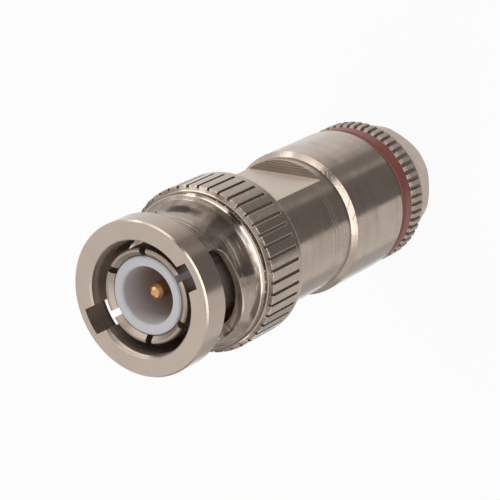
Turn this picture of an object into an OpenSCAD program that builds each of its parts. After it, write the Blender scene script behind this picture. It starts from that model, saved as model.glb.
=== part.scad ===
// Bayonet cable plug, clamp type: a coaxial plug with a turning coupling nut at one end
// and a screwed cable gland at the other. It stands on the gland nut, mating end up.
// Millimetres. +Z runs along the axis towards the mating end, and Z = 0 is the gland nut's rear face.

/* [Coupling nut] */
// Length of the coupling nut
nut_len = 13.5; // [13.2:0.1:15]
// How far the bore for the socket's barrel stands out from the neck, which makes the shelf for the springs
nut_shelf = 0.65; // [0.6:0.01:0.7]
// Wall of the front ring
ring_wall = 1.7; // [1.4:0.05:2]
// Length of the front ring
ring_len = 2.4; // [2:0.05:2.8]
// Smallest wall, at the turned waist
waist_wall = 0.55; // [0.4:0.05:0.8]
// Radius of the cove from the waist up to the collar
cove_r = 3.66; // [3.4:0.02:3.8]
// Distance of the waist from the front face
waist_back = 5; // [4.6:0.05:5.4]
// How far the plain collar stands out from the front ring
collar_step = 0.2; // [0.1:0.05:0.4]
// Length of the collar, with its eased front edge
collar_w = 0.7; // [0.5:0.05:0.9]
// How far the knurled grip stands out from the front ring
grip_step = 0.65; // [0.4:0.05:1]
// Plain rim left behind the knurl's grooves
knurl_rim = 1; // [0.7:0.05:1.6]
// Number of knurl grooves
knurl_n = 44; // [36:2:52]
// Width of a knurl groove
knurl_gap = 0.24; // [0.16:0.02:0.4]
// Depth of a knurl groove
knurl_depth = 0.2; // [0.1:0.02:0.3]
// Where the nut stands, turned from the wrench flats
nut_turn = 29; // [0:1:359]

/* [Bayonet cam] */
// Width of the stud entry and the cam slot
slot_w = 2.24; // [2.1:0.02:2.4]
// Depth of the cam slots in the bore's wall
slot_depth = 0.95; // [0.8:0.05:1.1]
// Depth of the stud entries in the bore's wall
entry_depth = 1; // [0.9:0.05:1.2]
// Depth at which the studs enter the cam, to the slot's centre line
cam_entry = 4.6; // [3.8:0.1:4.8]
// How much deeper the cam ends
cam_rise = 1.6; // [1.2:0.1:1.9]
// Turn from the entry to the detent
cam_turn = 80; // [72:1:95]
// How far the detent dips back towards the front
detent_dip = 0.3; // [0.1:0.05:0.4]

/* [Connector body] */
// Wall of the rear barrel round the thread
barrel_wall = 1.09; // [0.9:0.01:1.3]
// Length of the rear barrel
barrel_len = 8.4; // [7:0.1:12]
// How far the rear barrel stands out from the front barrel
barrel_step = 0.44; // [0.3:0.02:0.8]
// Length of the front barrel
front_len = 9.25; // [8.2:0.05:13]
// Length of the cone between the barrels
cone_len = 0.4; // [0.2:0.05:0.8]
// Distance across the wrench flats
flats_af = 9.8; // [9.4:0.1:10.6]
// Length of front barrel left round behind the flats
flats_back = 1.1; // [0.6:0.1:2]
// Wall of the neck that the coupling nut turns on
neck_wall = 0.57; // [0.5:0.01:0.65]
// Length of the neck
neck_len = 2.85; // [2.8:0.05:3.2]
// Diameter of the chamber behind the neck
chamber_d = 8; // [7.8:0.1:8.2]
// Radial room round the cable for the gland's gasket and washer
gland_room = 1.3; // [1.1:0.05:1.5]
// Length of the gland's bore in front of the threaded part
gland_len = 3.4; // [3:0.05:3.6]
// How far the threaded part stands out from the gland's bore
thread_step = 0.6; // [0.5:0.05:0.8]
// Length of the threaded part
thread_len = 6; // [4.8:0.1:6.5]
// Pitch of the thread
thread_pitch = 0.75; // [0.5:0.25:1]
// Depth of the thread
thread_depth = 0.3; // [0.2:0.05:0.4]

/* [Contacts and insulators] */
// Outside diameter of the spring fingers
finger_d = 8.1; // [8:0.05:8.2]
// Wall of the spring fingers
finger_wall = 0.67; // [0.55:0.01:0.7]
// How far the fingers reach out of the neck
finger_len = 9.95; // [9.6:0.05:10.3]
// Wall of the outer contact's spigot in the neck
spigot_wall = 0.27; // [0.2:0.01:0.35]
// Length of the spigot
spigot_len = 3.6; // [3:0.1:4.2]
// Number of fingers
finger_n = 6; // [4:2:6]
// Width of a slot between fingers
finger_gap = 0.6; // [0.4:0.05:0.8]
// Length of a slot between fingers
finger_slot = 6.6; // [5:0.1:7.4]
// Bevel inside the fingers' tips
finger_bevel = 0.35; // [0.2:0.05:0.45]
// Where the fingers' slots stand, turned from the wrench flats
finger_turn = 32; // [0:1:59]
// Bore of the front insulator
insulator_bore_d = 4.86; // [4.7:0.02:5]
// Depth of the front insulator's bore
insulator_bore_len = 7.6; // [6.5:0.1:8.2]
// How far the front insulator sits behind the fingers' tips
insulator_back = 0.22; // [0.1:0.02:0.6]
// Radius on the edge of that bore
insulator_round = 0.3; // [0.1:0.05:0.4]
// Diameter of the pin
pin_d = 1.35; // [1.3:0.01:1.4]
// How far the pin's tip sits behind the fingers' tips
pin_back = 1.1; // [0.8:0.05:2.6]
// Length of the pin's rounded tip
tip_len = 0.45; // [0.3:0.05:0.7]
// Diameter of the solder cup
cup_d = 2.4; // [2:0.1:2.8]
// Length of the solder cup behind the rear insulator
cup_len = 3.2; // [2.4:0.1:4]
// Bore of the solder cup
cup_bore_d = 1.1; // [0.8:0.1:1.4]
// Depth of the solder cup's bore
cup_bore_len = 2.6; // [1.6:0.1:3]
// Height of the solder cup's window
cup_window = 0.9; // [0.6:0.1:1.2]
// Thickness of the rear insulator
disc_t = 2.2; // [1.6:0.1:3]

/* [Spring pack] */
// Thickness of the front gasket
front_gasket_t = 0.8; // [0.6:0.05:1]
// Thickness of the retaining ring
ring_t = 0.45; // [0.35:0.05:0.5]
// Depth of the retaining ring's groove
groove_depth = 0.22; // [0.2:0.02:0.3]
// Land of the neck in front of the groove
land_w = 0.3; // [0.25:0.05:0.5]
// Opening of the retaining ring, as an angle
ring_opening = 40; // [20:5:90]
// Thickness of the thrust washer
thrust_t = 0.25; // [0.2:0.05:0.3]
// Thickness of the wave washer's strip
wave_t = 0.16; // [0.12:0.02:0.2]
// Number of waves
wave_n = 3; // [3:1:4]
// Travel of the coupling nut against the wave washer
nut_float = 0.5; // [0.3:0.05:0.6]
// Radial clearance of ring and washers in the nut's bore
washer_gap = 0.15; // [0.1:0.01:0.2]

/* [Cable gland] */
// Bore for the cable
cable_d = 7.2; // [6:0.1:7.6]
// Distance across the hexagon's flats
hex_af = 10; // [9.6:0.1:11]
// Diameter to which the hexagon's corners are turned
hex_corner_d = 10.6; // [10.4:0.1:11.5]
// Length of the hexagon
hex_len = 3.6; // [2:0.05:4.5]
// Where the hexagon stands, turned from the wrench flats
hex_turn = 0.3; // [0:0.1:59.9]
// How far the flange's teeth stand out from the seal ring
flange_step = 0.1; // [0.05:0.05:0.8]
// Width of the flange
flange_w = 2.1; // [1.6:0.05:2.8]
// Bevel on the flange's front edge
flange_bevel = 0.25; // [0.1:0.05:0.4]
// Length of the taper behind the teeth
taper_len = 0.5; // [0.3:0.05:0.9]
// How far the taper drops
taper_drop = 0.35; // [0.2:0.05:0.6]
// Number of the flange's teeth
teeth_n = 54; // [40:2:60]
// Width of a gap between teeth
teeth_gap = 0.36; // [0.2:0.02:0.5]
// Depth of a gap between teeth
teeth_depth = 0.3; // [0.15:0.05:0.4]
// Width of the seal ring between flange and body
seal_w = 1.6; // [1.2:0.05:2.4]
// Thickness of the seal ring, from the neck outwards
seal_t = 1; // [0.7:0.05:1.2]
// Radius on the seal ring's outer edges
seal_round = 0.35; // [0.2:0.05:0.5]
// Thickness of the clamp washer
clamp_washer_t = 0.6; // [0.5:0.05:0.8]
// Thickness of the braid clamp's rim
rim_t = 1.1; // [0.9:0.05:1.2]
// Length of the braid clamp's cone
clamp_cone_len = 2.2; // [1.6:0.1:2.6]
// Hole of the braid clamp
braid_hole_d = 5.4; // [5:0.1:5.8]
// Bore of the cable gasket
gasket_bore_d = 6.4; // [5.6:0.1:6.8]
// Bevel at the mouth of the cable bore and round the hexagon's rear face
mouth_bevel = 0.35; // [0.2:0.05:0.5]

/* [Fits] */
// Radial clearance of a turning or sliding fit
running = 0.05; // [0.03:0.01:0.08]
// Radial clearance between seated pieces
seat = 0.03; // [0.02:0.01:0.05]
// Radial clearance of the loose pieces in the gland
loose = 0.1; // [0.06:0.02:0.2]
// Small edge bevel
edge = 0.12; // [0.08:0.02:0.2]

/* [Hidden] */
$fn = 96;
// Overrun of a cutter past the face that it opens
over = 1;
// Diameters that follow from the spring fingers, from the inside out
finger_bore_d = finger_d - 2 * finger_wall;
insulator_d = finger_bore_d - 4 * seat;
spigot_d = finger_bore_d + 2 * spigot_wall;
neck_bore_d = spigot_d + 2 * seat;
neck_d = neck_bore_d + 2 * neck_wall;
nut_bore_d = neck_d + 2 * nut_shelf;
washer_d = nut_bore_d - 2 * washer_gap;
waist_d = nut_bore_d + 2 * waist_wall;
slot_d = nut_bore_d + 2 * slot_depth;
entry_d = nut_bore_d + 2 * entry_depth;
ring_d = nut_bore_d + 2 * ring_wall;
collar_d = ring_d + 2 * collar_step;
grip_d = ring_d + 2 * grip_step;
// Diameters that follow from the cable, through the gland to the barrel
gland_d = cable_d + 2 * gland_room;
thread_d = gland_d + 2 * thread_step;
barrel_d = thread_d + 2 * barrel_wall;
front_d = barrel_d - 2 * barrel_step;
clamp_neck_d = thread_d - 2 * running;
seal_d = clamp_neck_d + 2 * (seat + seal_t);
flange_d = seal_d + 2 * flange_step;
gland_piece_d = gland_d - 2 * loose;
// Heights along the axis, from the gland nut's rear face up
flange_z = hex_len;
seal_z = flange_z + flange_w;
body_z = seal_z + seal_w;
cone_z = body_z + barrel_len;
front_z = cone_z + cone_len;
shoulder_z = front_z + front_len;
neck_top = shoulder_z + neck_len;
nut_z = shoulder_z + seat;
nut_top = nut_z + nut_len;
finger_top = neck_top + finger_len;
insulator_top = finger_top - insulator_back;
pin_top = finger_top - pin_back;
// The gland chamber's steps
gland_z = body_z + thread_len;
gland_top = gland_z + gland_len;
flats_z = front_z + flats_back;
// The spring pack's places on the neck, from the front down
groove_top = neck_top - land_w;
thrust_top = groove_top - ring_t - 2 * seat;
wave_top = thrust_top - thrust_t - seat;
// Thickness of the nut's inner rib, which is left between the spring pack and the nut's rear face
rib_top = wave_top - wave_t - nut_float - 2 * seat;
// The rear insulator sits against the end of spigot and tube
disc_top = neck_top - spigot_len - seat;
pin_shank_bottom = disc_top - disc_t;
// The gland's stack, from the chamber's step down
rim_top = gland_top - seat;
cable_gasket_top = rim_top - rim_t - seat;
clamp_neck_top = gland_z - 4 * seat;
clamp_washer_top = clamp_neck_top + seat + clamp_washer_t;
cable_gasket_bottom = clamp_washer_top + seat;
// The coupling nut's lengths from its rear face: waist, front of the collar and length of the grip
shoulder_bevel = 0.25;
waist_z = nut_len - waist_back;
collar_front = waist_z - sqrt(pow(cove_r, 2) - pow(waist_d / 2 + cove_r - ring_d / 2, 2));
grip_len = collar_front - collar_w - shoulder_bevel;
// Bevels of the rear edges of grip and barrel, across and along
grip_bevel = [0.4, 0.4];
barrel_bevel = [0.35, 0.55];
// Cam slots as a chain of cross-sections
cam_steps = 36;

// A ring or tube between two heights
module tube(outer_d, inner_d, bottom, top) {
    translate([0, 0, bottom]) difference() {
        cylinder(d = outer_d, h = top - bottom);
        translate([0, 0, -over]) cylinder(d = inner_d, h = top - bottom + 2 * over);
    }
}

// What a round edge takes off a section's corner that points towards +X and +Y
module round_off(corner, radius) {
    translate(corner) difference() {
        translate([-radius, -radius]) square(radius + over);
        translate([-radius, -radius]) circle(r = radius);
    }
}

// Straight grooves along a cylinder
module grooves(count, outer_d, width, depth, bottom, length) {
    for (i = [0:count - 1])
        rotate(i * 360 / count)
            translate([outer_d / 2 - depth, -width / 2, bottom]) cube([depth + over, width, length]);
}

// Half section of the coupling nut's outside. A small arc behind the ring and the cove make the waist.
module nut_outline() {
    grip_r = grip_d / 2;
    ring_r = ring_d / 2;
    waist_r = waist_d / 2;
    fillet = ring_r - waist_r;
    fillet_z = nut_len - ring_len - fillet;
    difference() {
        polygon([[0, 0], [grip_r - grip_bevel[0], 0], [grip_r, grip_bevel[1]], [grip_r, grip_len],
                 [collar_d / 2, grip_len + shoulder_bevel], [collar_d / 2, collar_front - shoulder_bevel],
                 [ring_r, collar_front], [ring_r, nut_len - edge], [ring_r - edge, nut_len], [0, nut_len]]);
        intersection() {
            translate([waist_r + cove_r, waist_z]) circle(r = cove_r);
            square([grip_d, waist_z]);
        }
        translate([waist_r, waist_z]) square([grip_d, fillet_z - waist_z]);
        translate([ring_r, fillet_z]) circle(r = fillet);
    }
}

// Section of the coupling nut's inside: socket bore, spring pack room and the rib behind it
module nut_inside() {
    bore_r = nut_bore_d / 2;
    rib_r = neck_d / 2 + running;
    rib = rib_top - nut_z;
    polygon([[0, -over], [rib_r, -over], [rib_r, rib], [bore_r, rib], [bore_r, nut_len - edge],
             [bore_r + edge, nut_len], [bore_r + edge, nut_len + over], [0, nut_len + over]]);
}

// Depth of the cam's centre line below the nut's front face after a given turn
function cam_depth(turn) = cam_entry + cam_rise * turn / cam_turn;

// One cross-section of the cam slot: inner and outer edge, front and rear wall
function cam_section(turn) =
    let (deep = nut_len - cam_depth(turn), inner = nut_bore_d / 2 - over / 2, outer = slot_d / 2)
    [for (p = [[inner, -1], [outer, -1], [outer, 1], [inner, 1]])
        [p[0] * cos(turn), -p[0] * sin(turn), deep + p[1] * slot_w / 2]];

// The sloping part of one cam slot
module cam_ramp() {
    points = [for (i = [0:cam_steps]) each cam_section(i * cam_turn / cam_steps)];
    sides = [for (i = [0:cam_steps - 1], k = [0:3])
        [4 * i + k, 4 * i + 4 + k, 4 * i + 4 + (k + 1) % 4, 4 * i + (k + 1) % 4]];
    last = 4 * cam_steps;
    polyhedron(points, concat([[0, 1, 2, 3]], sides, [[last + 3, last + 2, last + 1, last]]));
}

// A slot with a round lower end, milled radially into the bore at a turn and depth
module milled_slot(turn, depth, length) {
    intersection() {
        rotate(-turn) translate([nut_bore_d / 2 - 1, 0, nut_len - depth])
            rotate([90, 0, 90]) linear_extrude(slot_d) {
                circle(d = slot_w);
                translate([-slot_w / 2, 0]) square([slot_w, length]);
            }
        cylinder(d = entry_d, h = nut_len + over);
    }
}

module coupling_nut() color("gainsboro") translate([0, 0, nut_z]) {
    difference() {
        rotate_extrude() nut_outline();
        rotate_extrude() nut_inside();
        grooves(knurl_n, grip_d, knurl_gap, knurl_depth, knurl_rim, grip_len - knurl_rim + shoulder_bevel);
        for (side = [0, 180]) rotate(nut_turn + side) {
            milled_slot(0, cam_entry, cam_entry + over);
            cam_ramp();
            milled_slot(cam_turn, cam_depth(cam_turn), detent_dip);
        }
    }
}

// Half section of the body's outside
module body_outline() {
    barrel_r = barrel_d / 2;
    front_r = front_d / 2;
    neck_r = neck_d / 2;
    polygon([[0, body_z], [barrel_r - barrel_bevel[0], body_z], [barrel_r, body_z + barrel_bevel[1]],
             [barrel_r, cone_z],
             [front_r, front_z], [front_r, shoulder_z - edge], [front_r - edge, shoulder_z],
             [neck_r, shoulder_z], [neck_r, groove_top - ring_t - seat],
             [neck_r - groove_depth, groove_top - ring_t - seat], [neck_r - groove_depth, groove_top],
             [neck_r, groove_top], [neck_r, neck_top], [0, neck_top]]);
}

// Section of the body's inside: thread, gland bore, chamber and the spigot's seat
module body_inside() {
    polygon([[0, body_z - over], [thread_d / 2, body_z - over], [thread_d / 2, gland_z],
             [gland_d / 2, gland_z + 2 * edge], [gland_d / 2, gland_top], [chamber_d / 2, gland_top],
             [chamber_d / 2, disc_top + seat], [neck_bore_d / 2, disc_top + seat],
             [neck_bore_d / 2, neck_top + over], [0, neck_top + over]]);
}

module connector_body() color("silver") {
    difference() {
        rotate_extrude() body_outline();
        rotate_extrude() body_inside();
        for (side = [90, 270])
            rotate(side) translate([flats_af / 2, -front_d / 2, flats_z])
                cube([front_d, front_d, shoulder_z - flats_z + over]);
    }
}

module outer_contact() color("lightgray") {
    bore_r = finger_bore_d / 2;
    finger_r = finger_d / 2;
    difference() {
        rotate_extrude() polygon([[bore_r, neck_top - spigot_len], [spigot_d / 2, neck_top - spigot_len],
                                  [spigot_d / 2, neck_top + seat], [finger_r, neck_top + seat],
                                  [finger_r, finger_top - edge], [finger_r - edge, finger_top],
                                  [bore_r + finger_bevel, finger_top],
                                  [bore_r, finger_top - finger_bevel]]);
        for (i = [0:finger_n / 2 - 1])
            rotate(finger_turn + i * 360 / finger_n)
                translate([-finger_d, -finger_gap / 2, finger_top - finger_slot])
                    cube([2 * finger_d, finger_gap, finger_slot + over]);
    }
}

module front_insulator() color("white") {
    outer_r = insulator_d / 2;
    bore_r = insulator_bore_d / 2;
    hole_r = pin_d / 2 + seat;
    floor_z = insulator_top - insulator_bore_len;
    rotate_extrude() difference() {
        polygon([[hole_r, neck_top - spigot_len], [outer_r, neck_top - spigot_len],
                 [outer_r, insulator_top - edge], [outer_r - edge, insulator_top],
                 [bore_r, insulator_top], [bore_r, floor_z], [hole_r, floor_z]]);
        translate([2 * bore_r, 0]) mirror([1, 0]) round_off([bore_r, insulator_top], insulator_round);
    }
}

// The pin with its rounded tip, the collar that the rear insulator holds and the solder cup
module centre_contact() color("gold") {
    pin_r = pin_d / 2;
    cup_r = cup_d / 2;
    cup_bottom = pin_shank_bottom - seat - cup_len;
    difference() {
        rotate_extrude()
            polygon([[0, cup_bottom], [cup_r, cup_bottom], [cup_r, pin_shank_bottom - seat],
                     [pin_r, pin_shank_bottom - seat], [pin_r, pin_top - tip_len],
                     [pin_r * 0.7, pin_top - tip_len / 3], [pin_r / 3, pin_top], [0, pin_top]]);
        translate([0, 0, cup_bottom - over]) cylinder(d = cup_bore_d, h = cup_bore_len + over);
        translate([0, -cup_bore_d / 4, cup_bottom + cup_len / 3])
            cube([cup_d, cup_bore_d / 2, cup_window]);
    }
}

module rear_insulator() color("white")
    tube(chamber_d - 2 * seat, pin_d + 2 * seat, disc_top - disc_t, disc_top);

module front_gasket() color("lightpink")
    tube(washer_d, finger_d + 2 * seat, neck_top + seat, neck_top + seat + front_gasket_t);

// Open ring in the neck's groove
module retaining_ring() color("dimgray") {
    inner_r = neck_d / 2 - groove_depth + seat;
    bottom = groove_top - ring_t - seat / 2;
    rotate(ring_opening / 2) rotate_extrude(angle = 360 - ring_opening)
        translate([inner_r, bottom]) square([washer_d / 2 - inner_r, ring_t]);
}

module thrust_washer() color("silver")
    tube(washer_d, neck_d + 2 * running, thrust_top - thrust_t, thrust_top);

// Height of the wave washer's underside at an angle
function wave_z(angle) = wave_top - wave_t - nut_float / 2 + nut_float / 2 * cos(wave_n * angle);

// Spring washer: a flat strip bent into even waves
module wave_washer() color("lightsteelblue") {
    steps = 72;
    inner_r = neck_d / 2 + 2 * running;
    outer_r = washer_d / 2;
    points = [for (i = [0:steps - 1], p = [[inner_r, 0], [outer_r, 0], [outer_r, wave_t], [inner_r, wave_t]])
        let (angle = i * 360 / steps) [p[0] * cos(angle), p[0] * sin(angle), wave_z(angle) + p[1]]];
    sides = [for (i = [0:steps - 1], k = [0:3])
        let (next = (i + 1) % steps)
        [4 * i + k, 4 * i + (k + 1) % 4, 4 * next + (k + 1) % 4, 4 * next + k]];
    polyhedron(points, sides);
}

// Ferrule with the cone that the braid is folded back over
module braid_clamp() color("silver") {
    hole_r = braid_hole_d / 2;
    rim_r = gland_piece_d / 2;
    base_r = chamber_d / 2 - loose;
    cone_top = rim_top + clamp_cone_len;
    rotate_extrude() polygon([[hole_r, rim_top - rim_t], [rim_r, rim_top - rim_t], [rim_r, rim_top],
                              [base_r, rim_top], [hole_r + 3 * edge, cone_top], [hole_r, cone_top]]);
}

module cable_gasket() color("dimgray")
    tube(gland_piece_d, gasket_bore_d, cable_gasket_bottom, cable_gasket_top);

module clamp_washer() color("silver")
    tube(gland_piece_d, cable_d + 4 * loose, clamp_washer_top - clamp_washer_t, clamp_washer_top);

// Half section of the clamp nut's outside above the hexagon
module clamp_nut_outline() {
    flange_r = flange_d / 2;
    neck_r = clamp_neck_d / 2;
    polygon([[0, flange_z], [flange_r - taper_drop, flange_z], [flange_r, flange_z + taper_len],
             [flange_r, seal_z - flange_bevel], [flange_r - flange_bevel, seal_z], [neck_r, seal_z],
             [neck_r, clamp_neck_top - 2 * edge], [neck_r - 2 * edge, clamp_neck_top],
             [0, clamp_neck_top]]);
}

// Section of the thread's grooves in the clamp nut's neck. The thread is cut as rings.
module thread_grooves() {
    neck_r = clamp_neck_d / 2;
    flank = thread_depth / 2;
    first = body_z + thread_pitch;
    count = floor((clamp_neck_top - first) / thread_pitch);
    for (i = [0:count - 1])
        translate([neck_r, first + i * thread_pitch])
            polygon([[edge, -flank - edge / 2], [-thread_depth, 0], [-thread_depth, edge],
                     [edge, flank + 3 * edge / 2]]);
}

// Hexagon with turned corners and a bevelled rear face
module hexagon() {
    corner_r = hex_corner_d / 2;
    face_r = hex_af / 2;
    intersection() {
        rotate(hex_turn + 30) cylinder(d = hex_af / cos(30), h = hex_len + flange_bevel, $fn = 6);
        rotate_extrude() polygon([[0, 0], [face_r, 0], [corner_r, mouth_bevel], [corner_r, hex_len + over],
                                  [0, hex_len + over]]);
    }
}

module clamp_nut() color("gainsboro") {
    difference() {
        union() {
            hexagon();
            rotate_extrude() clamp_nut_outline();
        }
        translate([0, 0, -over]) cylinder(d = cable_d, h = clamp_neck_top + 2 * over);
        translate([0, 0, -over])
            cylinder(d1 = cable_d + 2 * (over + mouth_bevel), d2 = cable_d, h = over + mouth_bevel);
        grooves(teeth_n, flange_d, teeth_gap, teeth_depth, flange_z - over / 2, flange_w + over);
        rotate_extrude() thread_grooves();
    }
}

// Rubber ring with rounded outer edges
module nut_seal_ring() color("firebrick") {
    inner_r = clamp_neck_d / 2 + seat;
    outer_r = seal_d / 2;
    bottom = seal_z + seat / 2;
    top = body_z - seat / 2;
    rotate_extrude() difference() {
        translate([inner_r, bottom]) square([outer_r - inner_r, top - bottom]);
        round_off([outer_r, top], seal_round);
        translate([0, 2 * bottom]) mirror([0, 1]) round_off([outer_r, bottom], seal_round);
    }
}

coupling_nut();
connector_body();
outer_contact();
front_insulator();
centre_contact();
rear_insulator();
front_gasket();
retaining_ring();
thrust_washer();
wave_washer();
braid_clamp();
cable_gasket();
clamp_washer();
clamp_nut();
nut_seal_ring();
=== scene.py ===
"""Bayonet cable plug, standing on its gland nut: finishes, floor, light and camera round the model."""
import math

import bpy
from mathutils import Matrix, Vector


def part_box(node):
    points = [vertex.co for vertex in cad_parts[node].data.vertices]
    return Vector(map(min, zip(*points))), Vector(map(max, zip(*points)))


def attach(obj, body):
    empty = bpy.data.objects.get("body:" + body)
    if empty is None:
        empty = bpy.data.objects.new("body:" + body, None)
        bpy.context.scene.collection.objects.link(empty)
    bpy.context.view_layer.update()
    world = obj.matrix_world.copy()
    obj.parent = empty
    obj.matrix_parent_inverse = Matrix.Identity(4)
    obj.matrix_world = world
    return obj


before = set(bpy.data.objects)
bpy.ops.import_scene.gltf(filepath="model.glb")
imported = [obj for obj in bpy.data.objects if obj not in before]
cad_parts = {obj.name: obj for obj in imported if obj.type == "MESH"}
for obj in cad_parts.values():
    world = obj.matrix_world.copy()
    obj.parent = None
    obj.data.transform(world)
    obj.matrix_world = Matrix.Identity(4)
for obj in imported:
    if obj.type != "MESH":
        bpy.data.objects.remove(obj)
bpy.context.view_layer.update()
scene = bpy.context.scene
MM = 0.001
MICRON = 1e-6


class Socket:
    """A shader value: expressions on it add Math nodes."""

    def __init__(self, tree, out):
        self.tree, self.out = tree, out

    def math(self, operation, *values, clamp=False):
        """The result of a Math node, whose sockets take the values in turn."""
        settings = {"operation": operation, "use_clamp": clamp}
        return Socket(self.tree, add_node(self.tree, "Math", settings, dict(enumerate(values))).outputs[0])

    def __add__(self, other):
        return self.math("ADD", self, other)

    def __sub__(self, other):
        return self.math("SUBTRACT", self, other)

    def __rsub__(self, other):
        return self.math("SUBTRACT", other, self)

    def __mul__(self, other):
        return self.math("MULTIPLY", self, other)

    def __pow__(self, other):
        return self.math("POWER", self, other)

    __radd__, __rmul__ = __add__, __mul__

    def size(self):
        return self.math("ABSOLUTE", self)

    def at_least(self, limit):
        return self.math("MAXIMUM", self, limit)

    def at_most(self, limit):
        return self.math("MINIMUM", self, limit)

    def above(self, edge, soft):
        """0 below the edge and 1 above it, over a soft width."""
        return self.math("MULTIPLY", self - (edge - soft / 2), 1 / soft, clamp=True)

    def below(self, edge, soft):
        """1 below the edge and 0 above it, over a soft width."""
        return 1 - self.above(edge, soft)

    def near(self, place, half, soft):
        """1 within half a width of a place and 0 away from it."""
        return (self - place).size().below(half, soft)


def add_node(tree, kind, settings=None, inputs=None):
    """A shader node of a type, with its settings first and then the values or links of its sockets."""
    node = tree.nodes.new("ShaderNode" + kind)
    for key, value in (settings or {}).items():
        setattr(node, key, value)
    for key, value in (inputs or {}).items():
        join(tree, node.inputs[key], value)
    return node


def join(tree, slot, value):
    """Links a value to a socket, or writes a constant on it."""
    if isinstance(value, Socket):
        tree.links.new(value.out, slot)
    else:
        slot.default_value = value


class Finish:
    """One procedural material, worked out from the part's own coordinates in metres."""

    SOCKETS = {"colour": "Base Color", "metal": "Metallic", "rough": "Roughness", "normal": "Normal",
               "specular": "Specular IOR Level", "subsurface": "Subsurface Weight"}

    def __init__(self, name):
        self.material = bpy.data.materials.new(name)
        self.material.use_nodes = True
        self.tree = self.material.node_tree
        self.shader = self.tree.nodes["Principled BSDF"]
        self.place = self.add("TexCoord", out="Object")
        split = add_node(self.tree, "SeparateXYZ", inputs={"Vector": self.place})
        self.x, self.y, self.z = (Socket(self.tree, out) for out in split.outputs)
        self.radius = (self.x * self.x + self.y * self.y) ** 0.5
        self.turn = self.x.math("ARCTAN2", self.y, self.x)

    def add(self, kind, settings=None, inputs=None, out=0):
        """One output of a new node."""
        return Socket(self.tree, add_node(self.tree, kind, settings, inputs).outputs[out])

    def grain(self, scale, detail=3.0, roughness=0.5):
        """Noise from 0 to 1, at a number of cells to the metre."""
        return self.add("TexNoise", {"noise_dimensions": "3D"},
                        {"Vector": self.place, "Scale": scale, "Detail": detail, "Roughness": roughness})

    def rings(self, along, scale, detail=2.0):
        """Noise that changes only along one coordinate, as a tool leaves it on turned metal."""
        return self.add("TexNoise", {"noise_dimensions": "1D"},
                        {"W": along, "Scale": scale, "Detail": detail, "Roughness": 0.6})

    def patch(self, bearing, spread, height, reach, ragged):
        """1 on a patch of a turned surface and 0 off it; spread is in degrees, and noise breaks the edge."""
        across = (self.turn - math.radians(bearing)) * (1 / math.radians(spread))
        along = (self.z - height) * (1 / reach)
        return ((across * across + along * along) ** 0.5 + (ragged - 0.5) * 1.4).below(0.8, 0.5)

    def coated(self, colour, *coats):
        """A colour with coats over it in turn, each given as its share from 0 to 1 and its colour."""
        for share, coat in coats:
            colour = self.add("Mix", {"data_type": "RGBA"}, {0: share, 6: colour, 7: coat}, out=2)
        return colour

    def set(self, **values):
        """Values or constants on the shader's sockets, by short names."""
        for key, value in values.items():
            join(self.tree, self.shader.inputs[self.SOCKETS[key]], value)

    def relief(self, height, depth, under=None):
        """Bump of a height from 0 to 1 that stands for a depth in metres, over another bump if given."""
        inputs = {"Height": height, "Distance": depth, "Strength": 1.0}
        if under is not None:
            inputs["Normal"] = under
        return self.add("Bump", None, inputs)

    def on(self, node):
        """Puts the finish on every slot of a CAD node."""
        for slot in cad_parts[node].material_slots:
            slot.material = self.material
        return self


def rgb(r, g, b):
    """A colour as it is seen on screen, 0 to 255, made linear."""
    linear = (c / 255 / 12.92 if c <= 10 else ((c / 255 + 0.055) / 1.055) ** 2.4 for c in (r, g, b))
    return tuple(linear) + (1.0,)


NICKEL = rgb(185, 170, 158)
NICKEL_DARK = rgb(158, 145, 134)
# Lighter nickel for painted highlights on the rear rim, the collar, a patch of the cove and the burrs
NICKEL_HIGHLIGHT = rgb(206, 195, 184)
MILLED_NICKEL = rgb(216, 205, 194)
# Darker nickel on the contact's fingers, as painted shade inside the bore
SHADED_FINGER_NICKEL = rgb(142, 129, 119)
# Dark nickel for a painted shade band along the collar's front edge
PAINTED_SHADE_NICKEL = rgb(112, 101, 93)
STAIN = rgb(98, 87, 79)
# Dark nickel for the cove's painted dark reflections
DARK_REFLECTION_NICKEL = rgb(72, 65, 60)
MILLED_SHADE = rgb(84, 76, 70)
# Dark tone for painted shade in the knurl's grooves, at the grip's shoulder and between the gland's teeth
PAINTED_RECESS_SHADE = rgb(92, 80, 71)
GOLD = rgb(207, 158, 112)
SPRING_STEEL = rgb(150, 148, 144)
FLUOROPOLYMER = rgb(216, 214, 216)
FLUOROPOLYMER_CLOUD = rgb(202, 200, 205)
# Warm, dim tone for painted shade and painted bounced light in the insulator's bore
BORE_PAINTED_SHADE = rgb(204, 184, 170)
RED_RUBBER = rgb(152, 80, 68)
RED_RUBBER_DARK = rgb(120, 66, 57)
SILICONE = rgb(150, 78, 62)
BLACK_RUBBER = rgb(46, 45, 44)

# Places and radii of the coupling nut and what its bore shows, in metres, and the number of its grooves
nut_low, nut_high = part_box("coupling_nut")
nut_front, nut_rear = nut_high[2], nut_low[2]
grip_radius = nut_high[0]
grip_root = 6.95 * MM
groove_top = 7.16 * MM
bore_radius = 5 * MM
front_ring_length = 2.35 * MM
fingertip_length = 1.6 * MM
insulator_bore = 2.46 * MM
knurl_count = 44
knurl_pitch = 2 * math.pi * grip_radius / knurl_count
knurl_start = nut_rear + 1 * MM
rear_rim_place = nut_rear + 0.46 * MM
grip_front = nut_rear + 4.89 * MM
collar_front = nut_rear + 5.836 * MM
waist_place, waist_radius, cove_radius = nut_rear + 8.5 * MM, 5.45 * MM, 3.66 * MM

# Painted dark reflections in the cove: bearing and spread in degrees, height over the nut's rear and reach in
# mm, strength
PAINTED_DARK_REFLECTIONS = ((92, 20, 7.0, 0.6, 1.0), (-15, 18, 5.95, 0.3, 0.8), (54, 16, 6.4, 1.0, 0.5))
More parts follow.
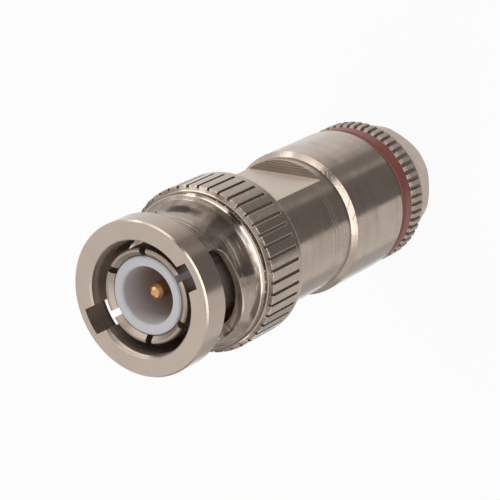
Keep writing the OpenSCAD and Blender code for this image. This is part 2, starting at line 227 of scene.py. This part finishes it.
# A painted highlight in the cove, a lighter and rougher patch: bearing and spread in degrees, place and reach
# in metres
HIGHLIGHT_PATCH_PLACE = (31, 14, nut_rear + 7.25 * MM, 0.6 * MM)
# The stretch of the bore's mouth that wear has eased: its bearing, half its width and its soft rim
RUB_BEARING, RUB_HALF, RUB_SOFT = math.radians(-107), math.radians(30), math.radians(16)

# Places on the body and the gland nut, in metres
cone_place = nut_rear - 9.48 * MM
flats_end = nut_rear - 8.18 * MM
flat_distance = 4.9 * MM
teeth_root = 6.4 * MM
flange_front = 5.5 * MM

# Tool marks on the body: distance behind the coupling nut, half width and soft rim in mm
TOOL_MARKS = ((6.7, 0.06, 0.05), (7.1, 0.05, 0.05), (7.35, 0.03, 0.04))


class NutFinish(Finish):
    """Nickel: satin face and ring, tool marks in the cove, a painted highlight on the collar and grainy lands
    on the grip.
    """

    def __init__(self):
        super().__init__("nut_nickel")
        self.depth = nut_front - self.z
        self.find_zones()
        self.find_marks()
        self.set(colour=self.colour(), metal=1 - self.bore * 0.25 - self.groove * 0.6, rough=self.roughness(),
                 normal=self.relief(self.tool_height(), 1.5 * MICRON, self.relief(self.worn_height(), MM)))

    def turned_radius(self):
        """The outside's radius: the cove's arc behind the waist, and the waist's own in front of it."""
        behind_waist = (waist_place - self.z).at_least(0.0).at_most(waist_place - collar_front)
        return (waist_radius + cove_radius) - (cove_radius ** 2 - behind_waist * behind_waist) ** 0.5

    def find_zones(self):
        """Masks that are 1 on a place of the nut and 0 elsewhere."""
        # How far a point stands out from the turned outside, which is less than nothing in the slots
        proud = self.radius - self.turned_radius()
        past_collar = self.z.above(collar_front, 0.1 * MM)
        self.face = self.depth.below(0.03 * MM, 0.02 * MM)
        self.front_ring = self.depth.below(front_ring_length, 0.1 * MM)
        self.outside = proud.above(-0.03 * MM, 0.03 * MM)
        self.bore = self.radius.below(bore_radius, 0.06 * MM)
        self.bore_mouth = self.bore * self.depth.near(0.7 * MM, 0.35 * MM, 0.4 * MM)
        self.cove = (1 - self.front_ring) * past_collar * self.outside
        self.slot_edge = proud.above(-0.42 * MM, 0.4 * MM) * proud.below(-0.09 * MM, 0.16 * MM)
        self.slot_edge = self.slot_edge * (1 - self.face)
        self.slot_wall = (1 - self.outside) * (1 - self.bore) * past_collar
        self.slot_wall = self.slot_wall * self.depth.above(0.3 * MM, 0.1 * MM)
        self.grip = self.radius.above(grip_root, 0.06 * MM)
        self.rear_rim = self.z.near(rear_rim_place, 0.05 * MM, 0.03 * MM) * self.grip
        self.knurl = self.z.above(knurl_start, 0.03 * MM) * self.grip
        self.groove = self.z.below(grip_front, 0.1 * MM) * self.radius.below(groove_top, 0.06 * MM)
        self.groove = self.groove * self.knurl

    def find_marks(self):
        """Clouds, grain, streaks and scratches, from 0 to 1."""
        self.cloud = self.grain(450.0, 4.0)
        self.speck = self.grain(5200.0, 3.0, 0.7)
        self.lands = self.grip * self.speck.above(0.48, 0.25)
        self.along_cove = self.z + self.radius * 0.7
        streaks = self.rings(self.along_cove, 4200.0).above(0.55, 0.08)
        self.streaks = self.cloud.above(0.46, 0.16) * streaks * self.cove
        scratches = self.rings(self.z + self.turn * 2.4 * MM, 5000.0, 1.0).above(0.7, 0.06)
        self.scratches = scratches * self.cloud.above(0.55, 0.1) * self.outside * (1 - self.face)
        self.rub = self.turn.near(RUB_BEARING, RUB_HALF, RUB_SOFT)
        self.highlight_patch = self.patch(*HIGHLIGHT_PATCH_PLACE, self.cloud) * self.cove

    def colour(self):
        """Nickel with stains, and painted light: dark reflections, shade and a highlight in the cove,
        highlights on the collar and rear rim, a shade band along the collar's front edge, and shade on the
        grip's shoulder and in its grooves.
        """
        stain = self.grain(260.0).above(0.5, 0.1)
        # Dark patches painted into the cove's colour where it would mirror dark things: painted reflections
        dark_reflections = 0
        for bearing, spread, height, reach, strength in PAINTED_DARK_REFLECTIONS:
            dark_reflection = self.patch(bearing, spread, nut_rear + height * MM, reach * MM, self.cloud)
            dark_reflections = dark_reflections + dark_reflection * strength
        collar = self.z.near((grip_front + collar_front) / 2 + 0.12 * MM, 0.35 * MM, 0.03 * MM) * self.outside
        collar_foot = self.z.near(collar_front - 0.18 * MM, 0.1 * MM, 0.05 * MM) * self.outside
        shoulder = self.z.near(grip_front + 0.12 * MM, 0.13 * MM, 0.03 * MM)
        shoulder = shoulder * self.radius.near(grip_root + 0.07 * MM, 0.16 * MM, 0.05 * MM)
        return self.coated(NICKEL,
                           (self.cloud.above(0.55, 0.5) * 0.35 + self.lands * 0.45, NICKEL_DARK),
                           (stain * self.cove * 0.75, STAIN),
                           # painted shade: the whole cove, a recess, is darkened
                           (self.cove * 0.3, NICKEL_DARK),
                           # painted highlight: lighter nickel on a patch of the cove
                           (self.highlight_patch * 0.6, NICKEL_HIGHLIGHT),
                           ((dark_reflections * self.cove).at_most(1.0), DARK_REFLECTION_NICKEL),
                           # painted highlights: lighter nickel on the rear rim and the collar
                           ((self.rear_rim + collar * 0.6).at_most(1.0), NICKEL_HIGHLIGHT),
                           # painted shade: a dark band along the collar's front edge
                           (collar_foot * 0.85, PAINTED_SHADE_NICKEL),
                           # painted shade on the grip's front shoulder and in the knurl's grooves
                           (shoulder * (0.35 + self.cloud.above(0.5, 0.2) * 0.45), PAINTED_RECESS_SHADE),
                           (self.groove * 0.6, PAINTED_RECESS_SHADE))

    def roughness(self):
        """Smooth in the cove, satin on the ring, and duller where it is scratched, grainy or broken open."""
        outside = 0.09 + self.front_ring * 0.1 + self.lands * 0.16 + self.groove * 0.2 + self.rear_rim * 0.35
        marks = self.cloud * 0.04 + self.streaks * 0.4 + self.scratches * 0.15 + self.highlight_patch * 0.22
        inside = self.bore * 0.06 + self.slot_wall * 0.26 + self.bore_mouth * (0.34 - self.rub * 0.2)
        return outside + marks + inside

    def tool_height(self):
        """The fine relief that cutting, brushing and plating leave."""
        fine = self.grain(9000.0, 2.0)
        turned = self.rings(self.along_cove, 8500.0, 3.0) * self.cove * (0.25 + self.streaks * 12)
        brushed = self.rings(self.x * 0.35 + self.y, 9000.0, 3.0) * self.face
        grainy = self.speck * (self.grip * 3.4 + self.front_ring * 0.5)
        satin = fine * (self.front_ring * 0.35 + 0.1)
        return turned + brushed * 0.9 + grainy + satin + self.scratches * 2

    def worn_height(self):
        """The soft relief of rounded lands, the collar's lip, slot edges and the bore's mouth where wear has
        eased it.
        """
        grooves_round = self.turn * (knurl_count / (2 * math.pi))
        beside_groove = self.turn.math("PINGPONG", grooves_round, 0.5) * knurl_pitch
        rounded = (beside_groove.above(0.14 * MM, 0.045 * MM) - 1) * self.knurl
        lip = self.z.below(collar_front - 0.12 * MM, 0.25 * MM) * self.outside
        lead_in = self.depth.above(0.3 * MM, 0.36 * MM) * self.depth.below(1.6 * MM, 2 * MM) * self.rub
        lead_in = lead_in * self.radius.below(bore_radius + 0.1 * MM, 0.5 * MM)
        return rounded * 0.03 + lip * 0.045 + self.slot_edge * 0.06 + lead_in * 0.36


def body_finish():
    """Turned nickel with visible tool rings, milled flats, and end walls with the cutter's lines, darkened
    with painted shade.
    """
    f = Finish("body_nickel")
    cloud = f.grain(420.0, 4.0)
    speck = f.grain(5200.0, 3.0, 0.7)
    fine = f.grain(9000.0, 2.0)
    bands = f.rings(f.z, 1100.0)
    milled = f.rings(f.y, 9000.0, 3.0)
    side = f.y.size()
    flat = side.near(flat_distance, 0.03 * MM, 0.02 * MM) * f.z.above(flats_end, 0.05 * MM)
    wall = side.above(flat_distance + 0.05 * MM, 0.05 * MM) * f.z.near(flats_end, 0.04 * MM, 0.03 * MM)
    turned = 1 - flat
    dust = speck.above(0.58, 0.14) * turned * cloud.above(0.45, 0.3)
    stain = f.grain(200.0).above(0.55, 0.15)
    scratches = f.rings(f.z + f.turn * 3.1 * MM, 4200.0, 1.0).above(0.72, 0.05) * cloud.above(0.55, 0.1)
    tool_marks = 0
    for behind, half, soft in TOOL_MARKS:
        tool_marks = tool_marks + f.z.near(nut_rear - behind * MM, half * MM, soft * MM)
    tool_marks = tool_marks * turned * cloud.above(0.35, 0.3)

    # wear from clouds and turned bands, and painted shade on the flats' end walls, darker still along the
    # cutter's lines
    wear_and_wall_shade = cloud.above(0.5, 0.3) * 0.45 + bands.above(0.55, 0.2) * 0.18 + wall * (0.2 + milled * 0.5)
    colour = f.coated(NICKEL, (wear_and_wall_shade, NICKEL_DARK), (flat, MILLED_NICKEL),
                      (wall * milled.below(0.55, 0.12) * 0.7, MILLED_SHADE))
    off_cone = 1 - f.z.near(cone_place, 0.3 * MM, 0.1 * MM)
    height = f.rings(f.z, 6500.0, 3.0) * turned * (0.5 + bands) + (speck * 0.2 + fine * 0.1) * off_cone
    height = height + bands * 0.6 + milled * wall * 4 + f.rings(f.z + f.x * 0.15, 5200.0) * flat * 3
    height = height + scratches * 2 - tool_marks * 6
    rough = 0.12 + bands * 0.06 + cloud * 0.04 + wall * 0.3 + flat * 0.5
    rough = rough + dust * 0.12 + scratches * 0.2 + stain * 0.05 + tool_marks * 0.4
    f.set(colour=colour, metal=1.0, rough=rough, normal=f.relief(height, 1.2 * MICRON))
    return f


def gland_finish():
    """Satin nickel, a little duller, as a small part plated in bulk, with painted shade darkening the gaps
    between the teeth.
    """
    f = Finish("gland_nickel")
    cloud = f.grain(600.0, 4.0)
    fine = f.grain(8000.0, 2.0)
    teeth = f.radius.above(teeth_root, 0.06 * MM)
    gaps = f.radius.near(teeth_root - 0.04 * MM, 0.1 * MM, 0.06 * MM) * f.z.below(flange_front, 0.2 * MM)
    # painted shade in the gaps between the teeth
    colour = f.coated(NICKEL, (cloud.above(0.5, 0.5) * 0.5, NICKEL_DARK), (gaps * 0.35, PAINTED_RECESS_SHADE))
    f.set(colour=colour, metal=1 - gaps * 0.4 - teeth * 0.55,
          rough=0.24 + cloud * 0.08 + gaps * 0.2 + teeth * 0.35, normal=f.relief(fine, 1.2 * MICRON))
    return f


def contact_finish():
    """Nickel darkened with painted shade over the turned spring fingers, duller down their sides."""
    f = Finish("contact_nickel")
    cloud = f.grain(700.0)
    sides = f.z.below(nut_front - fingertip_length, 0.4 * MM)
    # painted shade: the contact sits inside the bore and takes darker copies of the nickel
    f.set(colour=f.coated(NICKEL_DARK, (cloud.above(0.5, 0.5) * 0.6, SHADED_FINGER_NICKEL)), metal=1 - sides * 0.6,
          rough=0.36 + cloud * 0.08, normal=f.relief(f.rings(f.z, 7000.0), 0.8 * MICRON))
    return f


def inner_finish(name, colour, metal, rough):
    """Plain cloudy finish with a fine grain, for the pieces inside."""
    f = Finish(name)
    cloud = f.grain(800.0)
    shade = tuple(c * 0.8 for c in colour[:3]) + (1.0,)
    f.set(colour=f.coated(colour, (cloud, shade)), metal=metal, rough=rough + cloud * 0.08,
          normal=f.relief(f.grain(7000.0, 2.0), MICRON))
    return f


def insulator_finish():
    """Turned fluoropolymer: white and slightly waxy, with faint lathe rings and a bore painted warmer and
    dimmer, as painted shade and painted warm light bounced off the metal.
    """
    f = Finish("insulator_white")
    cloud = f.grain(350.0)
    bore = f.radius.below(insulator_bore, 0.05 * MM) * f.z.below(nut_front - 2 * fingertip_length, 4.5 * MM)
    # painted shade and painted warm bounced light in the bore
    f.set(colour=f.coated(FLUOROPOLYMER, (cloud, FLUOROPOLYMER_CLOUD), (bore * 0.75, BORE_PAINTED_SHADE)),
          rough=0.42 + cloud * 0.08, specular=0.35, subsurface=0.15,
          normal=f.relief(f.rings(f.radius, 5000.0), 0.7 * MICRON))
    f.shader.inputs["Subsurface Radius"].default_value = (0.6 * MM, 0.5 * MM, 0.45 * MM)
    return f


def seal_finish():
    """Red-brown rubber, satin from moulding."""
    f = Finish("seal_red")
    fine = f.grain(6000.0)
    f.set(colour=f.coated(RED_RUBBER, (f.grain(500.0, 4.0), RED_RUBBER_DARK)), rough=0.36 + fine * 0.15,
          normal=f.relief(fine, 2.5 * MICRON))
    return f


NutFinish().on("coupling_nut")
body_finish().on("connector_body")
gland_finish().on("clamp_nut")
contact_finish().on("outer_contact")
insulator_finish().on("front_insulator").on("rear_insulator")
seal_finish().on("nut_seal_ring")
inner_finish("pin_gold", GOLD, 1.0, 0.26).on("centre_contact")
inner_finish("gasket_silicone", SILICONE, 0.0, 0.5).on("front_gasket")
spring_finish = inner_finish("spring_steel", SPRING_STEEL, 1.0, 0.3)
spring_finish.on("retaining_ring").on("thrust_washer").on("wave_washer")
inner_finish("clamp_nickel", NICKEL, 1.0, 0.3).on("braid_clamp").on("clamp_washer")
inner_finish("bush_rubber", BLACK_RUBBER, 0.0, 0.6).on("cable_gasket")


# The burrs that the knurling tool leaves on the grip's front shoulder, one lip on each land
def burr_tree(finish):
    """Geometry Nodes: small lips round a circle, each with its own length, height and place."""
    tree = bpy.data.node_groups.new("shoulder_burrs", "GeometryNodeTree")
    sizes = {"Count": "NodeSocketInt", "Radius": "NodeSocketFloat", "Height": "NodeSocketFloat",
             "Length": "NodeSocketFloat", "Thickness": "NodeSocketFloat", "Seed": "NodeSocketInt"}
    for name, kind in sizes.items():
        tree.interface.new_socket(name, in_out="INPUT", socket_type=kind)
    tree.interface.new_socket("Geometry", in_out="OUTPUT", socket_type="NodeSocketGeometry")

    def add(kind, inputs, out=0, **settings):
        node = tree.nodes.new(kind)
        for key, value in settings.items():
            setattr(node, key, value)
        for key, value in inputs.items():
            if isinstance(value, bpy.types.NodeSocket):
                tree.links.new(value, node.inputs[key])
            else:
                node.inputs[key].default_value = value
        return node.outputs[out]

    def number(operation, first, second=0.0):
        return add("ShaderNodeMath", {0: first, 1: second}, operation=operation)

    given = tree.nodes.new("NodeGroupInput").outputs
    spread = add("FunctionNodeRandomValue",
                 {"Min": (0.35, 0.6, 0.6), "Max": (1.0, 1.3, 1.4), "Seed": given["Seed"]},
                 data_type="FLOAT_VECTOR")
    shift = add("FunctionNodeRandomValue", {2: -0.25, 3: 0.25, "Seed": given["Seed"]}, out=1,
                data_type="FLOAT")
    middle = number("ADD", add("GeometryNodeInputIndex", {}), 0.5)
    step = number("DIVIDE", 2 * math.pi, given["Count"])
    turn = number("MULTIPLY", number("ADD", middle, number("MULTIPLY", shift, 0.4)), step)
    across = number("MULTIPLY", number("COSINE", turn), given["Radius"])
    along = number("MULTIPLY", number("SINE", turn), given["Radius"])
    place = add("ShaderNodeCombineXYZ", {0: across, 1: along, 2: given["Height"]})
    points = add("GeometryNodePoints", {"Count": given["Count"], "Position": place})
    lip = add("GeometryNodeMeshUVSphere", {"Segments": 10, "Rings": 8, "Radius": 0.5})
    size = add("ShaderNodeCombineXYZ", {0: given["Thickness"], 1: given["Length"], 2: given["Thickness"]})
    scale = add("ShaderNodeVectorMath", {0: size, 1: spread}, operation="MULTIPLY")
    facing = add("ShaderNodeCombineXYZ", {2: turn})
    lips = add("GeometryNodeInstanceOnPoints",
               {"Points": points, "Instance": lip, "Rotation": facing, "Scale": scale})
    plain = add("GeometryNodeRealizeInstances", {"Geometry": lips})
    done = add("GeometryNodeSetMaterial", {"Geometry": plain, "Material": finish.material})
    tree.links.new(done, tree.nodes.new("NodeGroupOutput").inputs[0])
    return tree


def grown(name, tree, values):
    """The plain mesh that a Geometry Nodes tree makes with the given values."""
    base = bpy.data.objects.new(name + "_base", bpy.data.meshes.new(name + "_base"))
    scene.collection.objects.link(base)
    modifier = base.modifiers.new("grow", "NODES")
    modifier.node_group = tree
    for item in tree.interface.items_tree:
        if item.in_out == "INPUT" and item.name in values:
            modifier[item.identifier] = values[item.name]
    seen_by = bpy.context.evaluated_depsgraph_get()
    mesh = bpy.data.meshes.new_from_object(base.evaluated_get(seen_by), depsgraph=seen_by)
    bpy.data.objects.remove(base)
    item = bpy.data.objects.new(name, mesh)
    scene.collection.objects.link(item)
    return item


# The lips take the lighter highlight nickel: a painted highlight on the burrs
burrs = grown("shoulder_burrs", burr_tree(inner_finish("burr_nickel", NICKEL_HIGHLIGHT, 1.0, 0.2)),
              {"Count": knurl_count, "Radius": grip_radius - 0.035 * MM, "Height": grip_front + 0.005 * MM,
               "Length": 0.68 * MM, "Thickness": 0.13 * MM, "Seed": 7})
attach(burrs, "coupling_nut")


# Floor, room and lights that the nickel mirrors, lamps and world
WHITE, WARM_WHITE = (1.0, 1.0, 1.0, 1.0), (1.0, 0.98, 0.96, 1.0)
FLOOR_HALF = 1.5
FLOOR_GREY = (0.88, 0.88, 0.88, 1.0)
FLOOR_GLOW = 0.93
SKY_LEVEL = 0.6

# Rims of the room's cards, as (distance from the part, height) in mm, and the height where the walls fade
ROOM_START, ROOM_FOOT, ROOM_TOP, WALL_FADE = (0.3, 0.3), (300, 0.3), (300, 190), 160
# Distance of the lights' lower rims, and distance and height of their upper rims, in mm
LIGHT_AWAY, LIGHT_TOP = 298, (240, 330)
# The bearing that the photograph is taken from, in degrees, and a middling radius of the part in mm
CAMERA_BEARING, WALL_RADIUS = 30.5, 6.6

# The dark side of the room round the camera: the part's bearings that mirror each card, and its grey
GREYS = (("dark", 12.5, 42, 0.22), ("stripe", 42, 47, 0.46), ("dusk", 47, 57, 0.31), ("haze", 57, 63, 0.58),
         ("pale", 63, 70, 0.76), ("paler", 70, 77, 0.94), ("left", -24, 12.5, 0.86),
         ("far_left", -44, -24, 0.56))
# The lights that the bevels mirror, with a dark gap: bearings, height of the lower rim in mm, brightness
LIGHTS = (("strip_light", -4, 44, 216, 3.0), ("light_gap", 44, 56, 192, 0.1),
          ("short_light", 56, 61, 216, 3.2), ("side_light", 61, 90, 175, 2.6))


def seen_rays(tree):
    """1 for camera, glossy and transmission rays, 0 for the rays that light the part."""
    path = add_node(tree, "LightPath").outputs
    camera_ray, glossy, transmission = (
        Socket(tree, path[name]) for name in ("Is Camera Ray", "Is Glossy Ray", "Is Transmission Ray"))
    return (camera_ray + glossy + transmission).at_most(1.0)


def output(f, shader):
    """Puts a shader on a material's output."""
    out = next(node for node in f.tree.nodes if node.type == "OUTPUT_MATERIAL")
    f.tree.links.new(shader.out, out.inputs["Surface"])
    return f.material


def floor_material():
    """Matt pale floor, a share of which is plain white to the rays that see it, so it keeps the shadow."""
    f = Finish("floor_white")
    f.set(colour=FLOOR_GREY, rough=1.0, specular=0.0)
    glow = f.add("Emission", None, {"Color": WHITE, "Strength": 1.0})
    surface = Socket(f.tree, f.shader.outputs[0])
    return output(f, f.add("MixShader", None, {0: seen_rays(f.tree) * FLOOR_GLOW, 1: surface, 2: glow}))


def card_material(name, level, fades=False):
    """Plain grey or light of a level; a wall's fades out towards its top."""
    f = Finish(name)
    glow = f.add("Emission", None, {"Color": WARM_WHITE, "Strength": level})
    if not fades:
        return output(f, glow)
    full = (f.z * (1 / MM)).below((ROOM_TOP[1] + WALL_FADE) / 2, ROOM_TOP[1] - WALL_FADE)
    return output(f, f.add("MixShader", None, {0: full, 1: f.add("BsdfTransparent"), 2: glow}))


def sheet(name, corners, faces, material):
    """A stage piece of flat faces."""
    mesh = bpy.data.meshes.new(name)
    mesh.from_pydata(corners, [], faces)
    mesh.materials.append(material)
    item = bpy.data.objects.new(name, mesh)
    scene.collection.objects.link(item)
    return item


def mirrored(turn, away, height):
    """The place that the camera sees at a distance, mirrored in the turned wall at a bearing of the part."""
    wall, ray = math.radians(turn), math.radians(2 * turn - CAMERA_BEARING)
    x = WALL_RADIUS * math.cos(wall) + away * math.cos(ray)
    y = WALL_RADIUS * math.sin(wall) + away * math.sin(ray)
    return (x * MM, y * MM, height * MM)


def card(name, turns, near, far, material):
    """A strip that only reflections see, mirrored between two bearings; its rims are (away, height) in mm."""
    steps = 12
    corners = []
    for i in range(steps + 1):
        turn = turns[0] + (turns[1] - turns[0]) * i / steps
        corners += [mirrored(turn, *near), mirrored(turn, *far)]
    faces = [(2 * i, 2 * i + 1, 2 * i + 3, 2 * i + 2) for i in range(steps)]
    strip = sheet(name, corners, faces, material)
    strip.visible_camera = strip.visible_diffuse = strip.visible_shadow = False


sheet("floor", [(-FLOOR_HALF, -FLOOR_HALF, 0), (FLOOR_HALF, -FLOOR_HALF, 0), (FLOOR_HALF, FLOOR_HALF, 0),
                (-FLOOR_HALF, FLOOR_HALF, 0)], [(0, 1, 2, 3)], floor_material())
for name, low, high, level in GREYS:
    card(name + "_floor", (low, high), ROOM_START, ROOM_FOOT, card_material(name + "_floor", level))
    card(name + "_wall", (low, high), ROOM_FOOT, ROOM_TOP, card_material(name + "_wall", level, fades=True))
for name, low, high, bottom, level in LIGHTS:
    card(name, (low, high), (LIGHT_AWAY, bottom), LIGHT_TOP, card_material(name, level))

world = bpy.data.worlds.new("studio")
world.use_nodes = True
scene.world = world
sky = world.node_tree.nodes["Background"]
join(world.node_tree, sky.inputs["Color"], WHITE)
join(world.node_tree, sky.inputs["Strength"], seen_rays(world.node_tree) * (1 - SKY_LEVEL) + SKY_LEVEL)


LAMP_AIM = Vector((0, 0, 18 * MM))


def lamp(name, bearing, height, distance, width, length, level):
    """A soft box that looks at the part from a bearing and height in degrees; level is its own brightness."""
    data = bpy.data.lights.new(name, "AREA")
    data.shape, data.size, data.size_y = "RECTANGLE", width, length
    data.energy = level * math.pi * width * length
    box = bpy.data.objects.new(name, data)
    b, e = math.radians(bearing), math.radians(height)
    away = Vector((math.cos(b) * math.cos(e), math.sin(b) * math.cos(e), math.sin(e)))
    box.location = LAMP_AIM + away * distance
    box.rotation_mode = "QUATERNION"
    box.rotation_quaternion = away.to_track_quat("Z", "Y")
    scene.collection.objects.link(box)


lamp("key_top", 122, 27, 0.45, 0.24, 0.14, 3.6)
lamp("fill_left", 250, 40, 0.5, 0.30, 0.30, 1.5)

# The camera at the photograph's angle, fitted to the rings of the mating end
camera = bpy.data.objects.new("camera", bpy.data.cameras.new("camera"))
scene.collection.objects.link(camera)
scene.camera = camera
camera.data.lens, camera.data.sensor_width = 154.84, 36.0
camera.data.clip_start, camera.data.clip_end = 0.01, 10.0
camera_place = (0.09750, 0.05694, 0.16906)
right, up, back = (0.8362, -0.0241, -0.5480), (-0.1510, 0.9504, -0.2722), (0.5274, 0.3103, 0.7910)
camera.matrix_world = Matrix.Translation(camera_place) @ Matrix((right, up, back)).transposed().to_4x4()

scene.view_settings.view_transform = "Standard"
